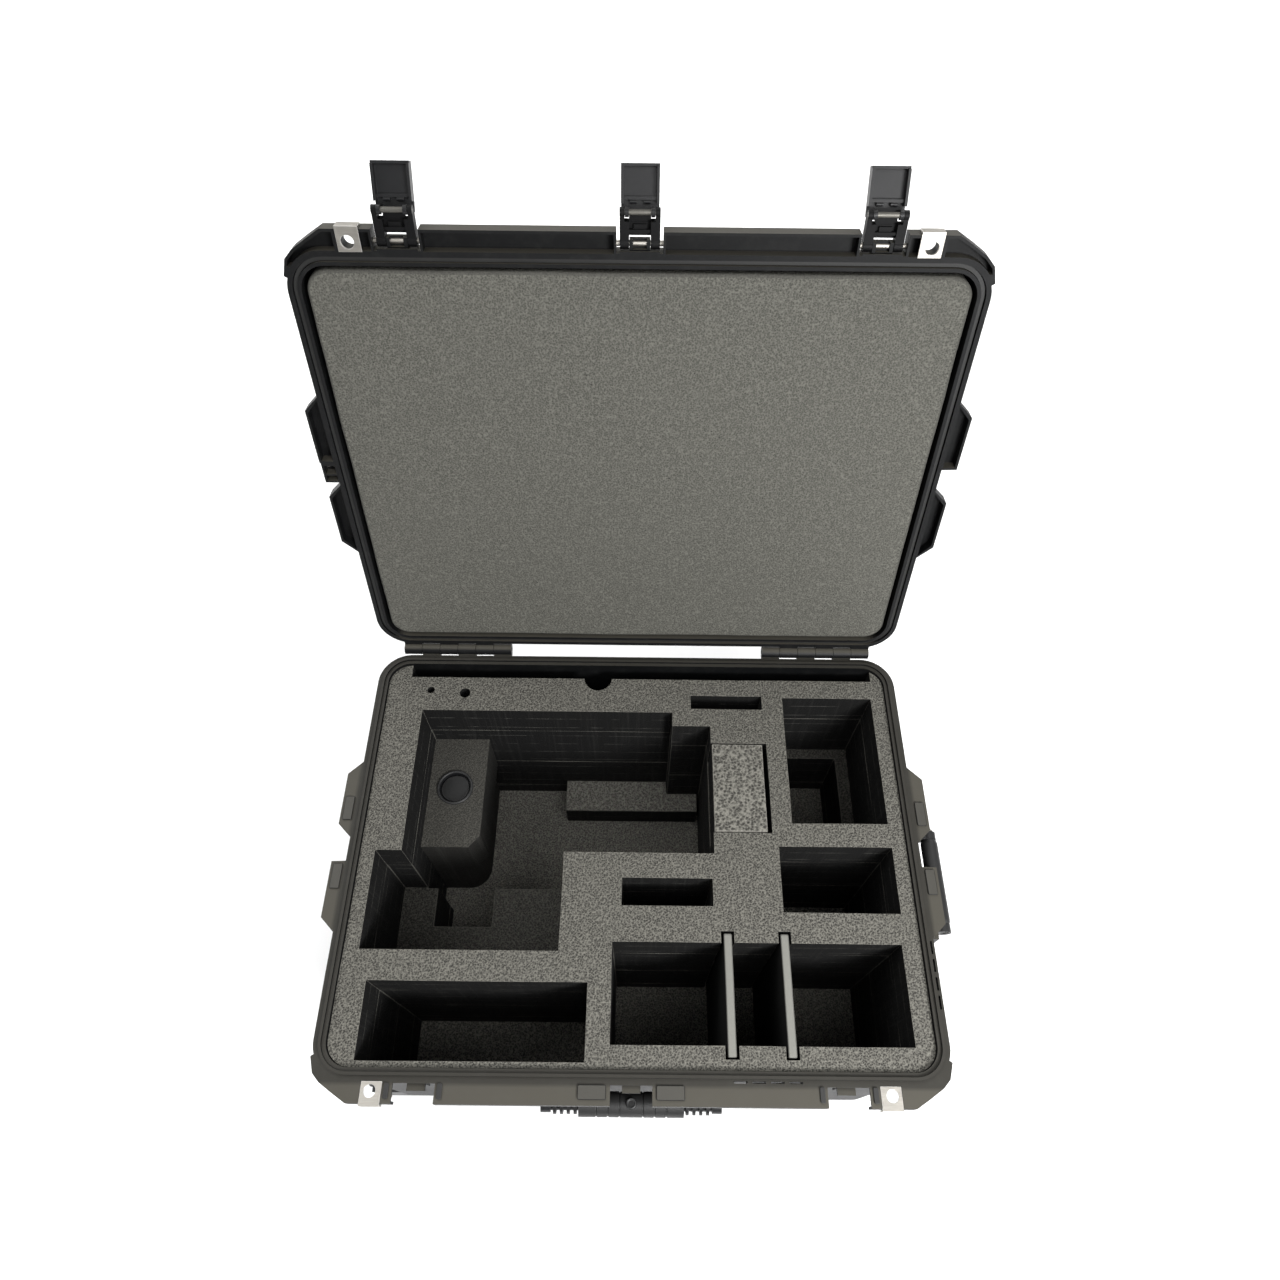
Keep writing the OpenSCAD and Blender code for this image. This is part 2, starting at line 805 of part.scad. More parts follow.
module latch_lever() {
    cover_w = 16.5;
    cheek_t = 2.3;
    end_z = -link_l - lever_l;
    color("#303134") translate([0, roller_y, -link_l]) rotate([-lever_rest, 0, 0])
    translate([0, -roller_y, link_l]) difference() {
        union() {
            // cover panel with a curled end
            block([-cover_w, -14, end_z], [cover_w, -10.8, -link_l + 2]);
            block([-cover_w, -14, end_z - 2.2], [cover_w, -6, end_z]);
            block([-14.3, -11, -link_l - 12], [14.3, -7.5, -link_l - 9.5]);
            for (s = [0, 1]) mirror([s, 0, 0]) {
                block([cover_w - cheek_t, -11, end_z], [cover_w, -4, -link_l - 6.5]);
                block([9.6, -11, -link_l - 4], [13, roller_y, -link_l]);
                rod_x(4, 9.6, 13, roller_y, -link_l);
                rod_x(1.6, 3, 9, -8.6, -link_l - 8);
            }
        }
        rod_x(latch_pin_d / 2 + pin_gap, -link_w, link_w, roller_y, -link_l);
        // grip grooves down the outside of the cover's end
        for (x = [-12:4:12])
            translate([x, -14.3, end_z - 3]) cylinder(r = 0.9, h = 12, $fn = 16);
    }
}

module latch_pin() {
    color(steel_col) rod_x(latch_pin_d / 2, -link_w + 0.2, link_w - 0.2, roller_y, -link_l);
}

module latch_left_link() {
    at_latch(-latch_x) latch_link();
}

module latch_centre_link() {
    at_latch(0) latch_link();
}

module latch_right_link() {
    at_latch(latch_x) latch_link();
}

module latch_left_lever() {
    at_latch(-latch_x) latch_lever();
}

module latch_centre_lever() {
    at_latch(0) latch_lever();
}

module latch_right_lever() {
    at_latch(latch_x) latch_lever();
}

module latch_left_pin() {
    at_latch(-latch_x) latch_pin();
}

module latch_centre_pin() {
    at_latch(0) latch_pin();
}

module latch_right_pin() {
    at_latch(latch_x) latch_pin();
}

// ---------- handles ----------

module front_handle_frame() {
    hl = front_handle_l / 2;
    core = hl - 10;
    color(shell_col) difference() {
        union() {
            for (s = [-1, 1]) {
                x0 = s > 0 ? hl - 10 : -hl;
                x1 = s > 0 ? hl : -hl + 10;
                rod_x(8, x0, x1, handle_y, handle_z);
                block([x0, handle_y - 8, grip_z], [x1, handle_y + 6, handle_z]);
                rod_x(8, x0, x1, grip_y, grip_z);
            }
            // ribs between the arms and the overmould
            both_sides() for (x = [56:7:77]) rod_x(9.5, x, x + 3, grip_y, grip_z);
            rod_x(6, -core, core, grip_y, grip_z);
        }
        rod_x(handle_pin_r + pin_gap, -hl - 1, hl + 1, handle_y, handle_z);
        translate([0, grip_y, grip_z + 2]) cylinder(r = 3.4, h = 12);
    }
}

module front_handle_grip() {
    color(rubber_col) difference() {
        rod_x(grip_r, -54, 54, grip_y, grip_z);
        rod_x(6 + fit, -55, 55, grip_y, grip_z);
        for (x = [-36:12:36]) if (abs(x) > 6) translate([x, grip_y, grip_z])
            rotate([0, 90, 0]) rotate_extrude() translate([grip_r, 0]) circle(0.9, $fn = 16);
        translate([0, grip_y, grip_z]) cylinder(r = 5.6, h = 20);
    }
}

module front_handle_badge() {
    color("#3a3b3d") translate([0, grip_y, grip_z + 2 + fit]) rotate_extrude($fn = 64)
        polygon([[0, 0], [3.3, 0], [3.3, 5], [5.4, 5], [5.4, 11.6], [4.6, 12.2], [3.8, 12.2], [3.2, 11.4], [0, 11.4]]);
}

module front_handle_pins() {
    hl = front_handle_l / 2;
    color(steel_col) for (s = [-1, 1])
        rod_x(handle_pin_r, s > 0 ? hl - 9 : -hl - 9, s > 0 ? hl + 9 : -hl + 9, handle_y, handle_z);
}

module side_handle() {
    hl = side_handle_l / 2;
    gx = side_px + side_reach;
    color(rubber_col) difference() {
        union() {
            hull() for (s = [-1, 1]) {
                translate([gx, side_handle_y + s * (hl - 14), side_pz]) sphere(9.3, $fn = 32);
                translate([gx, side_handle_y + s * (hl - 5), side_pz - 0.5]) sphere(6, $fn = 32);
            }
            for (s = [-1, 1]) {
                y0 = side_handle_y + (s > 0 ? hl - 9 : -hl);
                rod_y(7, y0, y0 + 9, side_px, side_pz);
                block([side_px, y0, side_pz - 7], [gx, y0 + 9, side_pz + 7]);
                rod_y(8.5, y0, y0 + 9, gx, side_pz);
            }
        }
        rod_y(handle_pin_r + pin_gap, side_handle_y - hl - 1, side_handle_y + hl + 1, side_px, side_pz);
        rod_y(3 + fit, side_handle_y - hl - 1, side_handle_y + hl + 1, gx + 2.4, side_pz + 2.4);
    }
}

module side_handle_rod() {
    hl = side_handle_l / 2;
    color(steel_col) rod_y(3, side_handle_y - hl + 1, side_handle_y + hl + 3,
        side_px + side_reach + 2.4, side_pz + 2.4);
}

module side_handle_pins() {
    hl = side_handle_l / 2;
    color(steel_col) for (s = [-1, 1])
        rod_y(handle_pin_r, side_handle_y + s * (hl + 0.5) - 8.5, side_handle_y + s * (hl + 0.5) + 8.5,
            side_px, side_pz);
}

// ---------- trolley ----------

module tube(d, x0, x1) {
    for (s = [-1, 1]) difference() {
        rod_x(d / 2, x0, x1, s * trolley_y, tube_z);
        rod_x(d / 2 - tube_t, x0 - 1, x1 + 1, s * trolley_y, tube_z);
    }
}

module trolley_sleeves() {
    color("#8f9296") tube(sleeve_d, sleeve_x - sleeve_l, sleeve_x);
}

bracket_xs = [sleeve_x - sleeve_l + 40, sleeve_x - 60];

module trolley_brackets() {
    color(shell_col) difference() {
        for (x = bracket_xs, s = [-1, 1])
            block([x - 12, s * trolley_y - 19, 1.5], [x + 12, s * trolley_y + 19, floor_z - wall]);
        for (s = [-1, 1]) rod_x(sleeve_d / 2 + fit, -half_w, half_w, s * trolley_y, tube_z);
        bracket_screws(2 + pin_gap, floor_z);
        bracket_heads(3.8 + pin_gap, -1, 4.5);
    }
}

module bracket_screws(r, top) {
    for (x = bracket_xs, s = [-1, 1], t = [-1, 1])
        translate([x, s * trolley_y + t * 15, -1]) cylinder(r = r, h = top + 1);
}

module bracket_heads(r, z0, z1) {
    for (x = bracket_xs, s = [-1, 1], t = [-1, 1])
        translate([x, s * trolley_y + t * 15, z0]) cylinder(r = r, h = z1 - z0);
}

module trolley_screws() {
    color(steel_col) difference() {
        union() {
            bracket_heads(3.8, 2, 4.5);
            bracket_heads(2, 4, floor_z - 1.2);
        }
        for (x = bracket_xs, s = [-1, 1], t = [-1, 1])
            translate([x, s * trolley_y + t * 15, 1]) cylinder(r = 1.4, h = 2.2, $fn = 6);
    }
}

module trolley_mid_tubes() {
    color("#a4a7ab") tube(mid_d, sleeve_x - sleeve_l + 4, sleeve_x + 4);
}

module trolley_inner_tubes() {
    color("#b9bcc0") tube(inner_d, sleeve_x - sleeve_l + 8, grip_x - 6);
}

module trolley_grip() {
    color(rubber_col) difference() {
        union() {
            rod_y(8, -trolley_y - 15, trolley_y + 15, grip_x - 1, tube_z);
            for (s = [-1, 1]) {
                block([out_w + 2, s * trolley_y - 11.5, tube_z - 8.5],
                    [grip_x - 1, s * trolley_y + 11.5, tube_z + 8.5]);
                rod_y(9, s * trolley_y - 11, s * trolley_y + 11, grip_x - 1, tube_z);
            }
            block([grip_x - 8, -26.5, tube_z - 8.5], [grip_x - 1, 26.5, tube_z + 8.5]);
            rod_y(9, -26, 26, grip_x - 1, tube_z);
        }
        for (s = [-1, 1]) rod_x(inner_d / 2 + fit, out_w, grip_x - 6 + fit, s * trolley_y, tube_z);
        block([grip_x + 1.5, -15.4, tube_z - 5.4], [grip_x + 12, 15.4, tube_z + 5.4]);
    }
}

module trolley_button() {
    color("#6a6d72") translate([grip_x + 5.2, 0, tube_z]) rotate([90, 0, 90]) linear_extrude(4.4)
        rounded(15, 5, 2.4);
}

// ---------- wheels ----------

module wheel_housings() {
    plate = 4.5;
    y1 = out_d - 0.5;
    top = well_z - 0.5;
    color("#1f2022") for (s = [-1, 1]) scale([1, s, 1]) difference() {
        union() {
            block([-out_w - 12, well_y + 0.5, skirt_z + 2], [well_x - 0.3, y1, top]);
            rod_y(14, well_y + 0.5, y1, wheel_x, wheel_z);
        }
        block([-out_w - 40, well_y + plate, -1], [well_x - 1.5, y1 - plate, top - plate]);
        rod_y(axle_d / 2 + fit, well_y - 1, y1 + 1, wheel_x, wheel_z);
        translate([-out_w - 14, 0, top - 4]) rotate([0, -38, 0])
            translate([-20, well_y - 1, -30]) cube([20, 80, 60]);
    }
}

module wheel_axles() {
    y1 = out_d - 0.5;
    color(steel_col) for (s = [-1, 1]) scale([1, s, 1]) difference() {
        union() {
            rod_y(axle_d / 2, well_y + 1, y1, wheel_x, wheel_z);
            rod_y(7.5, y1, y1 + 3.6, wheel_x, wheel_z);
        }
        translate([wheel_x, y1 + 5, wheel_z]) rotate([90, 0, 0]) cylinder(r = 3, h = 4, $fn = 6);
    }
}

module wheel_spin(s) {
    translate([wheel_x, s * wheel_y, wheel_z]) rotate([90, 0, 0]) children();
}

module wheel_tyre(s) {
    r = wheel_d / 2;
    h = wheel_w / 2;
    color("#2a2a2b") wheel_spin(s) rotate_extrude($fn = 96)
        polygon([[hub_r + fit, -h], [r - 3, -h], [r - 1, -h + 1.6], [r, -h + 5], [r, -3], [r - 0.8, -2.4],
            [r - 0.8, 2.4], [r, 3], [r, h - 5], [r - 1, h - 1.6], [r - 3, h], [hub_r + fit, h]]);
}

module wheel_hub(s) {
    h = wheel_w / 2;
    color("#4a4c50") wheel_spin(s) difference() {
        rotate_extrude($fn = 96) polygon([[6, -h + 1], [11, -h + 1], [12, -4], [hub_r - 2.5, -4],
            [hub_r - 2, -h + 0.5], [hub_r, -h + 0.5], [hub_r, h - 0.5], [hub_r - 2, h - 0.5],
            [hub_r - 2.5, 4], [12, 4], [11, h - 1], [6, h - 1]]);
        for (z = [-h, h - 6]) translate([0, 0, z]) cylinder(r = bearing_r + fit, h = 6);
        for (a = [0:60:300]) rotate([0, 0, a]) translate([13.2, 0, -10]) cylinder(r = 0.9, h = 20, $fn = 24);
    }
}

module wheel_bearings(s) {
    h = wheel_w / 2;
    color(steel_col) wheel_spin(s) for (z = [-h, h - 5]) translate([0, 0, z]) difference() {
        cylinder(r = bearing_r, h = 5);
        translate([0, 0, -1]) cylinder(r = axle_d / 2 + pin_gap, h = 7);
        for (f = [-0.6, 4.4]) translate([0, 0, f]) difference() {
            cylinder(r = 7, h = 1.2);
            translate([0, 0, -1]) cylinder(r = 5.2, h = 4);
        }
    }
}

module wheel_front_tyre() {
    wheel_tyre(-1);
}

module wheel_front_hub() {
    wheel_hub(-1);
}

module wheel_front_bearings() {
    wheel_bearings(-1);
}

module wheel_rear_tyre() {
    wheel_tyre(1);
}

module wheel_rear_hub() {
    wheel_hub(1);
}

module wheel_rear_bearings() {
    wheel_bearings(1);
}

base_shell();
lid_shell();
lid_gasket();
hinge_pins();
base_padlock_plates();
lid_padlock_plates();
front_flange_pads();
side_flange_pads();
flange_bumpers();
pressure_valve();
pressure_valve_cap();
foam_layer_top();
foam_layer_upper();
foam_layer_lower();
foam_layer_base();
foam_floor_pad();
foam_arm_block();
arm_block_cup();
foam_cross_bar();
foam_plug();
divider_left();
divider_right();
lid_foam();
latch_pivot_pins();
latch_left_link();
latch_centre_link();
latch_right_link();
latch_left_lever();
latch_centre_lever();
latch_right_lever();
latch_left_pin();
latch_centre_pin();
latch_right_pin();
front_handle_frame();
front_handle_grip();
front_handle_badge();
front_handle_pins();
side_handle();
side_handle_rod();
side_handle_pins();
trolley_sleeves();
trolley_brackets();
trolley_screws();
trolley_mid_tubes();
trolley_inner_tubes();
trolley_grip();
trolley_button();
wheel_housings();
wheel_axles();
wheel_front_tyre();
wheel_front_hub();
wheel_front_bearings();
wheel_rear_tyre();
wheel_rear_hub();
wheel_rear_bearings();
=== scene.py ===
import json
import math

import bmesh
import bpy
from mathutils import Matrix, Vector, noise


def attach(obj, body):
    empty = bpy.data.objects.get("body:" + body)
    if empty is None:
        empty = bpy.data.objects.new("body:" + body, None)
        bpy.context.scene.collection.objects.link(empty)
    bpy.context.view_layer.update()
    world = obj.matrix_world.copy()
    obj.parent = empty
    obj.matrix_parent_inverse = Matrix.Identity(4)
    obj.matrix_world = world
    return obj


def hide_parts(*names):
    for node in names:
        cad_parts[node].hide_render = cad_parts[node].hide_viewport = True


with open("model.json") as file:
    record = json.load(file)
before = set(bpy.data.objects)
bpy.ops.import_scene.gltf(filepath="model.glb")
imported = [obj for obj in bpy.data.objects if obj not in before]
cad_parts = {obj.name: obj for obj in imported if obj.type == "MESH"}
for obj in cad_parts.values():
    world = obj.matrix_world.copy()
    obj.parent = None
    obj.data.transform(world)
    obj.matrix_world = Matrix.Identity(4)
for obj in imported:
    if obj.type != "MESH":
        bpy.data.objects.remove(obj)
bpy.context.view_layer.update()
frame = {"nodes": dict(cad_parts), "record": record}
nodes = frame["nodes"]
bodyOf = {n: body for body, members in frame["record"]["behaviour"]["bodies"].items() for n in members}

rimHalf = (0.316, 0.239)  # half the rim's outline, across and front to back
openAngle = math.radians(104.7)
lidFace = (0.0, -math.sin(openAngle), -math.cos(openAngle))  # inside of the open lid looks this way

# camera: place in metres, angles in degrees, lens and sensor in millimetres
camera = {"place": (0.0034, -0.3142, 1.283), "down": 59.01, "turn": 0.06, "roll": 0.67,
          "lens": 25.04, "sensor": 36, "near": 0.01}


def addCamera(s):
    down, turn, roll = (math.radians(s[k]) for k in ("down", "turn", "roll"))
    forward = Vector((math.sin(turn) * math.cos(down), math.cos(turn) * math.cos(down), -math.sin(down)))
    right = Vector((math.cos(turn), -math.sin(turn), 0))
    up = right.cross(forward)
    tiltedRight = right * math.cos(roll) + up * math.sin(roll)
    tiltedUp = up * math.cos(roll) - right * math.sin(roll)
    data = bpy.data.cameras.new("camera")
    data.lens, data.sensor_width, data.clip_start = s["lens"], s["sensor"], s["near"]
    eye = bpy.data.objects.new("camera", data)
    eye.matrix_world = Matrix.Translation(s["place"]) @ Matrix(
        (tiltedRight, tiltedUp, -forward)).transposed().to_4x4()
    bpy.context.scene.collection.objects.link(eye)
    bpy.context.scene.camera = eye


addCamera(camera)
print("camera ready")


class Wire:
    # a node's socket that can be used in sums
    def __init__(self, finish, socket):
        self.finish, self.socket = finish, socket

    def sum(self, operation, a, b):
        return self.finish.node("ShaderNodeMath", {"operation": operation}, {0: a, 1: b})

    def __add__(self, other):
        return self.sum("ADD", self, other)

    def __radd__(self, other):
        return self.sum("ADD", other, self)

    def __sub__(self, other):
        return self.sum("SUBTRACT", self, other)

    def __mul__(self, other):
        return self.sum("MULTIPLY", self, other)


class Finish:
    # one material; fixed values go straight onto its shader
    def __init__(self, name, **fixed):
        self.material = bpy.data.materials.new(name)
        self.material.use_nodes = True
        self.tree = self.material.node_tree
        self.shader = self.tree.nodes["Principled BSDF"]
        for socket, value in fixed.items():
            self.shader.inputs[socket.replace("_", " ")].default_value = value
        self.place = self.node("ShaderNodeTexCoord", out="Object")

    def node(self, kind, settings=None, sockets=None, out=0):
        made = self.tree.nodes.new(kind)
        for key, value in (settings or {}).items():
            if key == "stops":
                ramp = made.color_ramp
                while len(ramp.elements) < len(value):
                    ramp.elements.new(0.5)
                for element, (at, shade) in zip(ramp.elements, value):
                    element.position, element.color = at, (shade, shade, shade, 1)
            else:
                setattr(made, key, value)
        for key, value in (sockets or {}).items():
            if isinstance(value, Wire):
                self.tree.links.new(value.socket, made.inputs[key])
            else:
                made.inputs[key].default_value = value
        return Wire(self, made.outputs[out])

    def stretched(self, scale, turn=(0, 0, 0)):
        sockets = {"Vector": self.place, "Scale": scale, "Rotation": turn}
        return self.node("ShaderNodeMapping", None, sockets)

    def cloud(self, scale, detail=2.0, rough=0.5, at=None):
        return self.node("ShaderNodeTexNoise", None, {"Vector": at or self.place, "Scale": scale,
                         "Detail": detail, "Roughness": rough})

    def cells(self, scale):
        return self.node("ShaderNodeTexVoronoi", None, {"Vector": self.place, "Scale": scale})

    def ramp(self, value, *stops):
        return self.node("ShaderNodeValToRGB", {"stops": stops}, {"Fac": value})

    def edge(self):
        return self.node("ShaderNodeAttribute", {"attribute_name": "edge"}, out="Fac")

    def blend(self, amount, a, b):
        pair = [v if isinstance(v, Wire) else (*v, 1) for v in (a, b)]
        return self.node("ShaderNodeMix", {"data_type": "RGBA"}, {0: amount, 6: pair[0], 7: pair[1]}, out=2)

    def facing(self, low, high):
        # 0 on upright faces, 1 on faces that look up
        normal = self.node("ShaderNodeNewGeometry", out="True Normal")
        up = self.node("ShaderNodeSeparateXYZ", None, {"Vector": normal}, out="Z")
        return self.ramp(up, (low, 0), (high, 1))

    def outside(self):
        # how far a place lies outside the rim's outline
        x, y = (self.node("ShaderNodeSeparateXYZ", None, {"Vector": self.place}, out=k) for k in "XY")
        wide = self.node("ShaderNodeMath", {"operation": "ABSOLUTE"}, {0: x}) - rimHalf[0]
        deep = self.node("ShaderNodeMath", {"operation": "ABSOLUTE"}, {0: y}) - rimHalf[1]
        return self.node("ShaderNodeMath", {"operation": "MAXIMUM"}, {0: wide, 1: deep})

    def bump(self, height, strength, distance):
        sockets = {"Height": height, "Strength": strength, "Distance": distance}
        return self.node("ShaderNodeBump", None, sockets)

    def set(self, **wires):
        for socket, wire in wires.items():
            self.tree.links.new(wire.socket, self.shader.inputs[socket.replace("_", " ")])
        return self.material


# how strongly smudges, moulded grain, scuffs and dust show on every plastic piece, and how far outside the
# rim's outline the painted light on the tops reaches full strength
plasticWearAndTopLight = {"ior": 1.48, "smudge": 0.10, "pebble": 0.10, "scuff": 0.10, "polish": 0.06, "dust": 0.08,
               "topLightFade": 0.004, "depth": 0.0004}


def mouldedPlastic(name, s):
    w = plasticWearAndTopLight
    f = Finish(name, IOR=w["ior"], Specular_IOR_Level=s["gloss"])
    pebble = f.cloud(s["grain"], 3, 0.6)
    smudge = f.ramp(f.cloud(7, 4, 0.6), (0.35, 0), (0.7, 1))
    rubbed = f.ramp(f.cloud(1, 4, 0.7, f.stretched((14, 160, 40), (0, 0, 0.3))), (0.66, 0), (0.74, 1))
    dust = f.ramp(f.cloud(55, 5, 0.7), (0.5, 0), (0.8, 1))
    worn = f.edge() * f.ramp(f.cloud(120, 3), (0.3, 0.3), (0.7, 1))
    # upward faces take the lighter top colour, a painted light on the tops; inside the rim's outline they
    # take only the rim share of it
    flange = f.ramp(f.outside(), (0.0, s["rim"]), (w["topLightFade"], 1))
    tint = f.blend(f.facing(0.75, 0.97) * flange, s["tint"], s["top"])
    tint = f.blend(dust * w["dust"], tint, s["dust"])
    tint = f.blend(worn * s["wear"], tint, s["edge"])
    tint = f.blend(rubbed * w["scuff"], tint, s["edge"])
    rough = s["rough"] + smudge * w["smudge"] + pebble * w["pebble"] - rubbed * w["polish"]
    return f.set(Base_Color=tint, Roughness=rough, Normal=f.bump(pebble, s["bump"], w["depth"]))


# how strongly uneven patches, blade marks and glue lines show on every foam piece
foamMarks = {"patch": 0.30, "blade": 0.5, "glue": 0.8, "glueShare": 0.05, "rough": 0.72, "speckRough": 0.16,
             "depth": 0.6}


def cutFoam(name, s):
    w = foamMarks
    f = Finish(name, Specular_IOR_Level=s["gloss"])
    bubble = f.cells(1 / s["cell"])
    fine = f.cloud(1.6 / s["cell"], 3, 0.7)
    patch = f.cloud(6, 3, 0.5)
    speck = f.ramp(fine * 0.62 + bubble * 0.38, (s["contrast"][0], 0), (s["contrast"][1], 1))
    tint = f.blend(speck, s["dark"], s["light"])
    tint = f.blend(patch * w["patch"], tint, s["patch"])
    # cut walls: a painted shade darkens them, with blade marks down them and broken glue lines between the
    # sheets
    blade = f.ramp(f.cloud(1, 3, 0.7, f.stretched((240, 240, 7))), (0.52, 0), (0.74, 1))
    height = f.node("ShaderNodeSeparateXYZ", None, {"Vector": f.place}, out="Z")
    sheets = f.node("ShaderNodeMath", {"operation": "FRACT"}, {0: height * (1 / s["sheet"])})
    glue = f.ramp(sheets, (0.0, 1), (w["glueShare"], 0)) * f.ramp(f.cloud(45, 3, 0.6), (0.42, 0), (0.58, 1))
    side = f.blend(blade * w["blade"], s["wall"], s["blade"])
    side = f.blend(glue * w["glue"], side, s["glue"])
    # where sides is set, faces that don't look up take the painted wall shade and its marks
    tint = f.blend(f.facing(0.25, 0.7), side, tint) if s["sides"] else tint
    # bevelled cut edges take a painted edge light: lighter lines on the top, inner, block and plug foams,
    # darker ones on the floor and lid foams and the dividers
    tint = f.blend(f.edge() * s["paintedEdgeLightShare"], tint, s["edge"])
    grain = fine * 0.5 + bubble * 0.7
    rough = w["rough"] + speck * w["speckRough"]
    return f.set(Base_Color=tint, Roughness=rough, Normal=f.bump(grain, s["bump"], s["cell"] * w["depth"]))


def brushedSteel(name, s):
    f = Finish(name, Metallic=1.0)
    lines = f.cloud(1, 3, 0.7, f.stretched(s["brush"]))
    scuff = f.ramp(f.cloud(90, 4, 0.7), (0.45, 0), (0.75, 1))
    worn = f.edge() * 0.5
    tint = f.blend(lines, s["dark"], s["light"])
    tint = f.blend(worn, tint, (0.85, 0.85, 0.84))
    rough = s["rough"] + lines * 0.12 + scuff * 0.14
    return f.set(Base_Color=tint, Roughness=rough, Normal=f.bump(lines, 0.25, 0.0001))


def mouldedRubber(name, s):
    f = Finish(name, Specular_IOR_Level=0.35)
    pebble = f.cells(s["grain"])
    soft = f.cloud(30, 4, 0.6)
    tint = f.blend(soft, s["dark"], s["light"])
    tint = f.blend(f.edge() * s["wear"], tint, s["edge"])
    rough = s["rough"] + soft * 0.14
    return f.set(Base_Color=tint, Roughness=rough, Normal=f.bump(pebble, s["bump"], 0.0003))


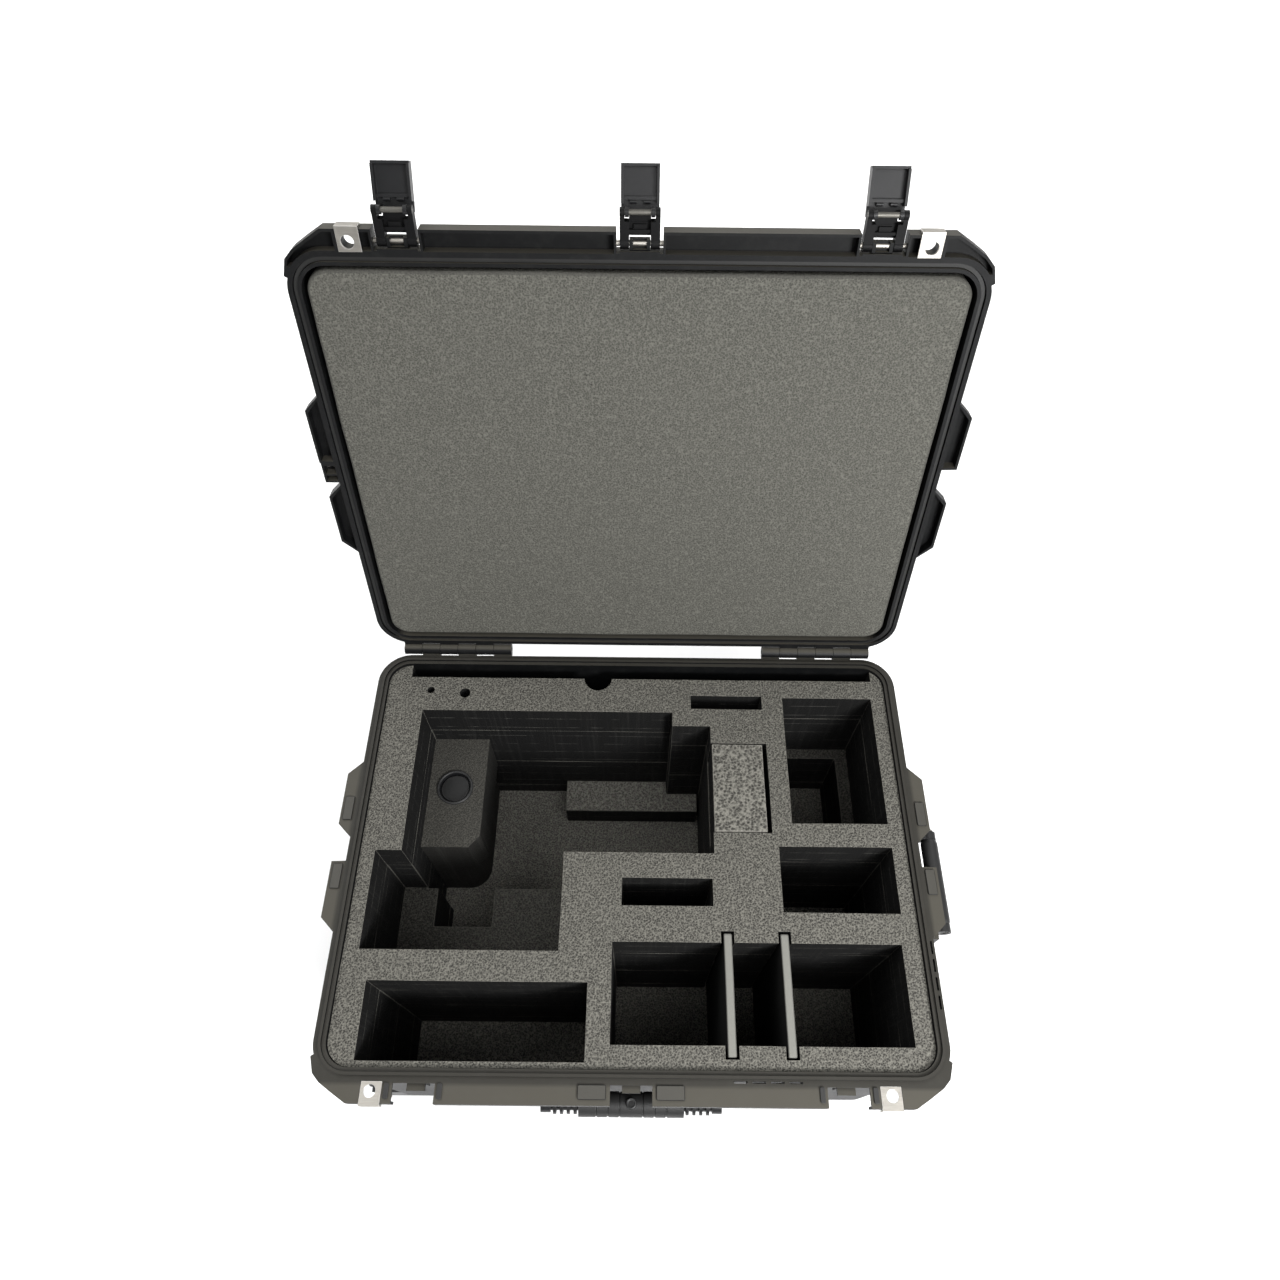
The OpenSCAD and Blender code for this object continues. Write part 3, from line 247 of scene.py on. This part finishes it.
finishes = {
    # top is a painted light on the upward plastic faces, rim its share inside the rim's outline
    "shell": mouldedPlastic("shellPlastic", {"tint": (0.0045, 0.0047, 0.0050),
        "top": (0.054, 0.0505, 0.0415), "dust": (0.08, 0.08, 0.075), "edge": (0.06, 0.06, 0.057),
        "wear": 0.5, "rough": 0.40, "grain": 1500, "bump": 0.25, "gloss": 0.17, "rim": 0.45}),
    "link": mouldedPlastic("linkPlastic", {"tint": (0.0028, 0.0028, 0.0031), "top": (0.006, 0.006, 0.006),
        "dust": (0.03, 0.03, 0.03), "edge": (0.03, 0.03, 0.03), "wear": 0.4, "rough": 0.42, "grain": 1900,
        "bump": 0.12, "gloss": 0.14, "rim": 1.0}),
    "trim": mouldedPlastic("trimPlastic", {"tint": (0.008, 0.0082, 0.009), "top": (0.014, 0.014, 0.014),
        "dust": (0.07, 0.07, 0.07), "edge": (0.07, 0.07, 0.07), "wear": 0.5, "rough": 0.30, "grain": 1900,
        "bump": 0.12, "gloss": 0.3, "rim": 1.0}),
    "hub": mouldedPlastic("hubPlastic", {"tint": (0.03, 0.031, 0.034), "top": (0.035, 0.035, 0.037),
        "dust": (0.12, 0.12, 0.11), "edge": (0.1, 0.1, 0.1), "wear": 0.5, "rough": 0.32, "grain": 1500,
        "bump": 0.2, "gloss": 0.4, "rim": 1.0}),
    "pad": mouldedRubber("padRubber", {"dark": (0.034, 0.032, 0.027), "light": (0.046, 0.044, 0.037),
        "edge": (0.003, 0.003, 0.003), "wear": 1.0, "rough": 0.5, "grain": 1300, "bump": 0.2}),
    "bumper": mouldedRubber("bumperRubber", {"dark": (0.012, 0.012, 0.012), "light": (0.02, 0.02, 0.019),
        "edge": (0.03, 0.03, 0.03), "wear": 0.5, "rough": 0.45, "grain": 1300, "bump": 0.2}),
    "grip": mouldedRubber("gripRubber", {"dark": (0.010, 0.010, 0.010), "light": (0.018, 0.018, 0.018),
        "edge": (0.04, 0.04, 0.04), "wear": 0.4, "rough": 0.42, "grain": 1100, "bump": 0.35}),
    "tyre": mouldedRubber("tyreRubber", {"dark": (0.012, 0.012, 0.012), "light": (0.028, 0.027, 0.026),
        "edge": (0.05, 0.05, 0.05), "wear": 0.4, "rough": 0.62, "grain": 900, "bump": 0.4}),
    # wall is a painted shade on the cut walls
    "baseFoam": cutFoam("baseFoam", {"cell": 0.0021, "dark": (0.017, 0.0164, 0.0142),
        "light": (0.155, 0.150, 0.130), "patch": (0.07, 0.067, 0.06), "edge": (0.22, 0.21, 0.185),
        "paintedEdgeLightShare": 0.5, "contrast": (0.38, 0.62), "wall": (0.0055, 0.0055, 0.0053),
        "blade": (0.024, 0.0235, 0.022), "glue": (0.13, 0.127, 0.115), "sheet": 0.0245, "sides": True,
        "gloss": 0.2, "bump": 0.9}),
    # a darker copy of the top-layer foam for the recessed inner layers: painted shade
    "shadedInnerFoam": cutFoam("shadedInnerFoam", {"cell": 0.0022, "dark": (0.014, 0.0137, 0.0122),
        "light": (0.095, 0.092, 0.080), "patch": (0.03, 0.029, 0.026), "edge": (0.10, 0.097, 0.085),
        "paintedEdgeLightShare": 0.6, "contrast": (0.38, 0.64), "wall": (0.005, 0.005, 0.0049),
        "blade": (0.022, 0.0216, 0.0205), "glue": (0.10, 0.098, 0.09), "sheet": 0.0245, "sides": True,
        "gloss": 0.2, "bump": 0.9}),
    # a brighter copy of the inner foam for the deep floors: painted light
    "litFloorFoam": cutFoam("litFloorFoam", {"cell": 0.0022, "dark": (0.045, 0.044, 0.039),
        "light": (0.24, 0.232, 0.203), "patch": (0.10, 0.097, 0.086), "edge": (0.10, 0.097, 0.085),
        "paintedEdgeLightShare": 0.6, "contrast": (0.38, 0.64), "wall": (0.005, 0.005, 0.0049),
        "blade": (0.022, 0.0216, 0.0205), "glue": (0.10, 0.098, 0.09), "sheet": 0.0245, "sides": True,
        "gloss": 0.2, "bump": 0.9}),
    # a darker copy of the top-layer foam for the arm block: painted shade
    "shadedBlockFoam": cutFoam("shadedBlockFoam", {"cell": 0.0019, "dark": (0.018, 0.017, 0.015),
        "light": (0.068, 0.066, 0.057), "patch": (0.04, 0.038, 0.034), "edge": (0.10, 0.097, 0.085),
        "paintedEdgeLightShare": 0.4, "contrast": (0.36, 0.66), "wall": (0.016, 0.0155, 0.014),
        "blade": (0.045, 0.044, 0.04), "glue": (0.03, 0.03, 0.028), "sheet": 0.05, "sides": True,
        "gloss": 0.2, "bump": 0.7}),
    "plugFoam": cutFoam("plugFoam", {"cell": 0.0034, "dark": (0.022, 0.021, 0.0185),
        "light": (0.195, 0.189, 0.165), "patch": (0.11, 0.105, 0.093), "edge": (0.24, 0.23, 0.205),
        "paintedEdgeLightShare": 0.45, "contrast": (0.38, 0.62), "wall": (0.006, 0.006, 0.006),
        "blade": (0.03, 0.03, 0.028), "glue": (0.1, 0.1, 0.09), "sheet": 0.03, "sides": True,
        "gloss": 0.2, "bump": 1.0}),
    "lidFoam": cutFoam("lidFoam", {"cell": 0.0019, "dark": (0.040, 0.0395, 0.034),
        "light": (0.128, 0.126, 0.110), "patch": (0.09, 0.0885, 0.078), "edge": (0.05, 0.049, 0.044),
        "paintedEdgeLightShare": 0.6, "contrast": (0.36, 0.66), "wall": (0.01, 0.01, 0.01),
        "blade": (0.03, 0.03, 0.03), "glue": (0.03, 0.03, 0.03), "sheet": 0.05, "sides": False,
        "gloss": 0.15, "bump": 0.6}),
    "divider": cutFoam("dividerFoam", {"cell": 0.0009, "dark": (0.15, 0.149, 0.135),
        "light": (0.19, 0.188, 0.17), "patch": (0.16, 0.158, 0.143), "edge": (0.05, 0.05, 0.045),
        "paintedEdgeLightShare": 0.6, "contrast": (0.3, 0.8), "wall": (0.007, 0.007, 0.007),
        "blade": (0.02, 0.02, 0.019), "glue": (0.02, 0.02, 0.02), "sheet": 0.05, "sides": True,
        "gloss": 0.2, "bump": 0.3}),
    # dark dots standing in for the shade inside the lid foam's open pores: painted shade
    "paintedPoreShade": mouldedRubber("poreShade", {"dark": (0.010, 0.0098, 0.009), "light": (0.022, 0.021, 0.019),
        "edge": (0.02, 0.02, 0.02), "wear": 0.0, "rough": 0.8, "grain": 900, "bump": 0.1}),
    "steel": brushedSteel("stainlessSteel", {"brush": (60, 900, 900), "dark": (0.30, 0.28, 0.25),
        "light": (0.50, 0.48, 0.44), "rough": 0.34}),
    "roller": brushedSteel("rollerSteel", {"brush": (900, 60, 60), "dark": (0.09, 0.087, 0.078),
        "light": (0.17, 0.164, 0.148), "rough": 0.42}),
    "tube": brushedSteel("tubeAluminium", {"brush": (20, 1200, 1200), "dark": (0.48, 0.48, 0.49),
        "light": (0.62, 0.62, 0.63), "rough": 0.30}),
}
print("finishes ready")


# metres and degrees
meshing = {"weld": 2e-6, "sliver": 1e-6, "flat": 0.4, "sharp": 32.0, "foamSharp": 40.0, "smooth": 40.0}


def cadMesh(node):
    mesh = bmesh.new()
    mesh.from_mesh(nodes[node].data)
    flat = math.radians(meshing["flat"])
    bmesh.ops.remove_doubles(mesh, verts=mesh.verts, dist=meshing["weld"])
    bmesh.ops.dissolve_degenerate(mesh, edges=mesh.edges, dist=meshing["sliver"])
    bmesh.ops.dissolve_limit(mesh, angle_limit=flat, verts=mesh.verts, edges=mesh.edges)
    return mesh


def softenEdges(mesh, width, sharp=meshing["sharp"]):
    # rounds every sharp edge and marks the new faces for the wear in the finishes, and on the foam for the
    # painted light and shade along the cut edges
    mark = mesh.faces.layers.float.get("edge") or mesh.faces.layers.float.new("edge")
    edges = [e for e in mesh.edges if e.is_manifold and e.calc_face_angle(0) > math.radians(sharp)]
    if not edges:
        return mesh
    made = bmesh.ops.bevel(mesh, geom=edges, offset=width, offset_type="OFFSET", segments=2, profile=0.5,
                           affect="EDGES", clamp_overlap=True)
    for face in made["faces"]:
        face[mark] = 1.0
    return mesh


def cutGrid(mesh, step):
    # cuts a piece into cells, so that its faces can be made uneven
    low = [min(v.co[i] for v in mesh.verts) for i in range(3)]
    high = [max(v.co[i] for v in mesh.verts) for i in range(3)]
    for axis in range(3):
        normal = [0, 0, 0]
        normal[axis] = 1
        count = int((high[axis] - low[axis]) / step)
        for k in range(1, count + 1):
            at = [0, 0, 0]
            at[axis] = low[axis] + (high[axis] - low[axis]) * k / (count + 1)
            bmesh.ops.bisect_plane(mesh, geom=mesh.verts[:] + mesh.edges[:] + mesh.faces[:], dist=1e-7,
                                   plane_co=at, plane_no=normal)
    return mesh


# one slow wave and a finer, weaker one; the drift gives each piece its own stretch of noise
waves = {"size": 0.06, "finer": 4.3, "weaker": 0.3, "drift": (1, 1.7, 0.6), "seed": 11}
noise.seed_set(waves["seed"])  # the same foam every time the script runs


def wobble(mesh, amount, seed):
    shift = Vector([seed * d for d in waves["drift"]])
    for v in mesh.verts:
        at = v.co / waves["size"] + shift
        ripple = noise.noise_vector(at * waves["finer"]) * amount * waves["weaker"]
        v.co += noise.noise_vector(at) * amount + ripple
    return mesh


def settle(piece):
    # area-weighted normals, applied
    mod = piece.modifiers.new("normals", "WEIGHTED_NORMAL")
    mod.keep_sharp = True
    shape = bpy.data.meshes.new_from_object(piece.evaluated_get(bpy.context.evaluated_depsgraph_get()))
    piece.modifiers.remove(mod)
    piece.data = shape


def addPiece(name, mesh, finish, body, stands=()):
    data = bpy.data.meshes.new(name)
    mesh.to_mesh(data)
    mesh.free()
    data.materials.append(finishes[finish])
    piece = bpy.data.objects.new(name, data)
    bpy.context.scene.collection.objects.link(piece)
    data.shade_smooth()
    data.set_sharp_from_angle(angle=math.radians(meshing["smooth"]))
    bpy.context.view_layer.update()
    settle(piece)
    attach(piece, body)
    if stands:
        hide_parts(*stands)
    return piece


def roundedCad(node, finish, width):
    mesh = softenEdges(cadMesh(node), width)
    return addPiece(node + "_piece", mesh, finish, bodyOf[node], [node])


class Tree:
    # geometry nodes with named inputs, turned into one mesh
    def __init__(self, name, **inputs):
        self.group = bpy.data.node_groups.new(name, "GeometryNodeTree")
        self.group.interface.new_socket("Geometry", in_out="INPUT", socket_type="NodeSocketGeometry")
        self.group.interface.new_socket("Geometry", in_out="OUTPUT", socket_type="NodeSocketGeometry")
        self.values = {}
        for label, value in inputs.items():
            kind = "NodeSocketInt" if isinstance(value, int) else "NodeSocketFloat"
            socket = self.group.interface.new_socket(label, in_out="INPUT", socket_type=kind)
            self.values[socket.identifier] = value
        self.given = self.group.nodes.new("NodeGroupInput")

    def node(self, kind, settings=None, **sockets):
        made = self.group.nodes.new(kind)
        for key, value in (settings or {}).items():
            setattr(made, key, value)
        for key, value in sockets.items():
            # n0, n1 and so on are sockets by number
            numbered = key[0] == "n" and key[1:].isdigit()
            target = made.inputs[int(key[1:]) if numbered else key.replace("_", " ")]
            if isinstance(value, bpy.types.NodeSocket):
                self.group.links.new(value, target)
            else:
                target.default_value = value
        return made

    def build(self, base, instances, finish):
        real = self.node("GeometryNodeRealizeInstances", Geometry=instances)
        inked = self.node("GeometryNodeSetMaterial", Geometry=real.outputs[0], Material=finishes[finish])
        self.group.links.new(inked.outputs[0], self.group.nodes.new("NodeGroupOutput").inputs[0])
        host = bpy.data.objects.new("host", base)
        bpy.context.scene.collection.objects.link(host)
        mod = host.modifiers.new("repeat", "NODES")
        mod.node_group = self.group
        for identifier, value in self.values.items():
            mod[identifier] = value
        bpy.context.view_layer.update()
        shape = bpy.data.meshes.new_from_object(host.evaluated_get(bpy.context.evaluated_depsgraph_get()))
        host.modifiers.remove(mod)
        bpy.data.objects.remove(host)
        mesh = bmesh.new()
        mesh.from_mesh(shape)
        return mesh


# rounding of the moulded edges
shells = {"base_shell": 0.0007, "lid_shell": 0.0007}
for node, width in shells.items():
    roundedCad(node, "shell", width)
print("shells ready")

# finish, rounding of the cut edges, grid step and height of the waves
foams = {
    "foam_layer_top": ("baseFoam", 0.0012, 0.014, 0.00035),
    "foam_layer_upper": ("shadedInnerFoam", 0.0011, 0.016, 0.0004),
    "foam_layer_lower": ("shadedInnerFoam", 0.0011, 0.018, 0.0004),
    "foam_layer_base": ("litFloorFoam", 0.0010, 0.018, 0.0003),
    "foam_floor_pad": ("litFloorFoam", 0.0006, 0.016, 0.0003),
    "foam_arm_block": ("shadedBlockFoam", 0.0016, 0.012, 0.0003),
    "foam_cross_bar": ("litFloorFoam", 0.0014, 0.012, 0.0003),
    "foam_plug": ("plugFoam", 0.0014, 0.010, 0.0002),
    "divider_left": ("divider", 0.0012, 0.012, 0.0002),
    "divider_right": ("divider", 0.0012, 0.012, 0.0002),
    "lid_foam": ("lidFoam", 0.004, 0.020, 0.0006),
}
for number, (node, (finish, width, step, height)) in enumerate(foams.items()):
    rounded = softenEdges(cadMesh(node), width, meshing["foamSharp"])
    mesh = wobble(cutGrid(rounded, step), height, number)
    piece = addPiece(node + "_piece", mesh, finish, bodyOf[node], [node])
print("foam ready")

# dark dots over the lid foam's face, a painted shade for its open pores; Facing keeps them off its sides
pores = {"Density": 2600.0, "Radius": 0.0008, "Flatness": 0.22, "Smallest": 0.3, "Largest": 1.0,
         "Facing": 0.97, "Seed": 7}


def scatterPores(base, look, s):
    t = Tree("poreScatter", **s)
    g = t.given.outputs
    normal = t.node("GeometryNodeInputNormal")
    along = t.node("ShaderNodeVectorMath", {"operation": "DOT_PRODUCT"}, n0=normal.outputs[0], n1=look)
    front = t.node("FunctionNodeCompare", {"data_type": "FLOAT", "operation": "GREATER_THAN"},
                   n0=along.outputs["Value"], n1=g["Facing"])
    spread = t.node("GeometryNodeDistributePointsOnFaces", Mesh=g["Geometry"], Selection=front.outputs[0],
                    Density=g["Density"], Seed=g["Seed"])
    ball = t.node("GeometryNodeMeshIcoSphere", Radius=g["Radius"], Subdivisions=1)
    squash = t.node("ShaderNodeCombineXYZ", X=1, Y=1, Z=g["Flatness"])
    flat = t.node("GeometryNodeTransform", Geometry=ball.outputs[0], Scale=squash.outputs[0])
    size = t.node("FunctionNodeRandomValue", {"data_type": "FLOAT"}, n2=g["Smallest"], n3=g["Largest"],
                  Seed=g["Seed"])
    dots = t.node("GeometryNodeInstanceOnPoints", Points=spread.outputs["Points"], Instance=flat.outputs[0],
                  Rotation=spread.outputs["Rotation"], Scale=size.outputs[1])
    return t.build(base, dots.outputs[0], "paintedPoreShade")


def steadyFaces(data):
    # the same surface as triangles in a fixed order, so the pores fall in the same places every time
    mesh = bmesh.new()
    mesh.from_mesh(data)
    bmesh.ops.triangulate(mesh, faces=mesh.faces)
    corners = []
    for face in mesh.faces:
        order = [v.index for v in face.verts]
        first = order.index(min(order))
        corners.append(order[first:] + order[:first])
    steady = bpy.data.meshes.new("foamFace")
    steady.from_pydata([tuple(v.co) for v in mesh.verts], [], sorted(corners))
    mesh.free()
    return steady


foamFace = steadyFaces(bpy.data.objects["lid_foam_piece"].data)
addPiece("lid_foam_pore_shade", scatterPores(foamFace, lidFace, pores), "paintedPoreShade", "lid")
print("pores ready")

# hardware: for each finish, the rounding of its edges and its pieces
latchSides = ("left", "centre", "right")
wheelEnds = ("front", "rear")
hardware = {
    "steel": (0.0003, ["hinge_pins", "base_padlock_plates", "lid_padlock_plates", "latch_pivot_pins",
        "front_handle_pins", "side_handle_rod", "side_handle_pins", "trolley_screws", "wheel_axles",
        *(f"wheel_{end}_bearings" for end in wheelEnds)]),
    "roller": (0.0003, [f"latch_{side}_pin" for side in latchSides]),
    "link": (0.0005, [f"latch_{side}_link" for side in latchSides]),
    "trim": (0.0005, [*(f"latch_{side}_lever" for side in latchSides), "front_handle_frame",
        "front_handle_badge", "trolley_brackets", "wheel_housings", "pressure_valve", "pressure_valve_cap",
        "arm_block_cup", "trolley_button"]),
    "pad": (0.0006, ["front_flange_pads", "side_flange_pads"]),
    "bumper": (0.0005, ["flange_bumpers", "lid_gasket"]),
    "grip": (0.0008, ["front_handle_grip", "side_handle", "trolley_grip"]),
    "tyre": (0.0005, [f"wheel_{end}_tyre" for end in wheelEnds]),
    "hub": (0.0004, [f"wheel_{end}_hub" for end in wheelEnds]),
    "tube": (0.0002, ["trolley_sleeves", "trolley_mid_tubes", "trolley_inner_tubes"]),
}
for finish, (width, members) in hardware.items():
    for node in members:
        roundedCad(node, finish, width)
print("hardware ready")

# moulded bars across the tyres; share is their length over the tyre's width
tread = {"bars": 40, "radius": 0.0237, "deep": 0.0012, "wide": 0.0014, "share": 0.72, "edge": 0.00025}


def addTread(s, body, tyre):
    corners = [v.co for v in nodes[tyre].data.vertices]
    low, high = (Vector([pick(c[i] for c in corners) for i in range(3)]) for pick in (min, max))
    t = Tree("treadBars", Bars=s["bars"], Radius=s["radius"], Deep=s["deep"], Wide=s["wide"],
             Long=(high.y - low.y) * s["share"])
    g = t.given.outputs
    ring = t.node("GeometryNodeMeshCircle", Vertices=g["Bars"], Radius=g["Radius"])
    out = t.node("GeometryNodeInputPosition")
    turn = t.node("FunctionNodeAlignRotationToVector", {"axis": "X"}, Vector=out.outputs[0])
    size = t.node("ShaderNodeCombineXYZ", X=g["Deep"], Y=g["Wide"], Z=g["Long"])
    bar = t.node("GeometryNodeMeshCube", Size=size.outputs[0])
    bars = t.node("GeometryNodeInstanceOnPoints", Points=ring.outputs[0], Instance=bar.outputs[0],
                  Rotation=turn.outputs[0])
    mesh = t.build(bpy.data.meshes.new("empty"), bars.outputs[0], "tyre")
    middle = Matrix.Translation((low + high) / 2) @ Matrix.Rotation(math.radians(90), 4, "X")
    bmesh.ops.transform(mesh, matrix=middle, verts=mesh.verts)
    softenEdges(mesh, s["edge"])
    addPiece(body + "_tread", mesh, "tyre", body)


for end in wheelEnds:
    addTread(tread, f"wheel_{end}", f"wheel_{end}_tyre")
print("treads ready")

# floor, sky and lamps, each lamp with its place, aim, size and power
studio = {
    "floor": (0.90, 0.90, 0.90), "floorHalf": 9, "mottle": 0.985, "world": 0.36,
    "lamps": {
        "ceiling": ((0.5, -1.0, 2.4), (0.1, 0.0, 0.3), (1.6, 1.2), 26),
        "key": ((0.75, -1.0, 1.15), (0.15, -0.15, 0.32), (0.5, 0.4), 32),
        "sheen": ((0.5, 2.1, 2.9), (0, 0.0, 0.3), (2.4, 1.2), 20),
        "backdrop": ((0.0, 3.2, 2.6), (0, 3.6, 0), (6.0, 2.4), 210),
        "left floor": ((-2.6, 0.6, 2.2), (-2.9, 0.6, 0), (1.6, 4.0), 60),
    },
}


def addLight(name, place, aim, size, power):
    data = bpy.data.lights.new(name, "AREA")
    data.shape, data.size, data.size_y, data.energy = "RECTANGLE", size[0], size[1], power
    lamp = bpy.data.objects.new(name, data)
    lamp.location = place
    lamp.rotation_euler = (Vector(aim) - Vector(place)).to_track_quat("-Z", "Y").to_euler()
    bpy.context.scene.collection.objects.link(lamp)


def addStudio(s):
    ground = bmesh.new()
    bmesh.ops.create_grid(ground, x_segments=1, y_segments=1, size=s["floorHalf"])
    data = bpy.data.meshes.new("floor")
    ground.to_mesh(data)
    ground.free()
    f = Finish("floorPaper", Roughness=0.9)
    darker = tuple(c * s["mottle"] for c in s["floor"])
    f.set(Base_Color=f.blend(f.cloud(3, 2), s["floor"], darker))
    data.materials.append(f.material)
    floor = bpy.data.objects.new("floor", data)
    bpy.context.scene.collection.objects.link(floor)
    world = bpy.data.worlds.new("studio")
    world.use_nodes = True
    world.node_tree.nodes["Background"].inputs["Color"].default_value = (1, 1, 1, 1)
    world.node_tree.nodes["Background"].inputs["Strength"].default_value = s["world"]
    bpy.context.scene.world = world
    for name, lamp in s["lamps"].items():
        addLight(name, *lamp)
    bpy.context.scene.view_settings.view_transform = "Standard"


addStudio(studio)
print("studio ready")
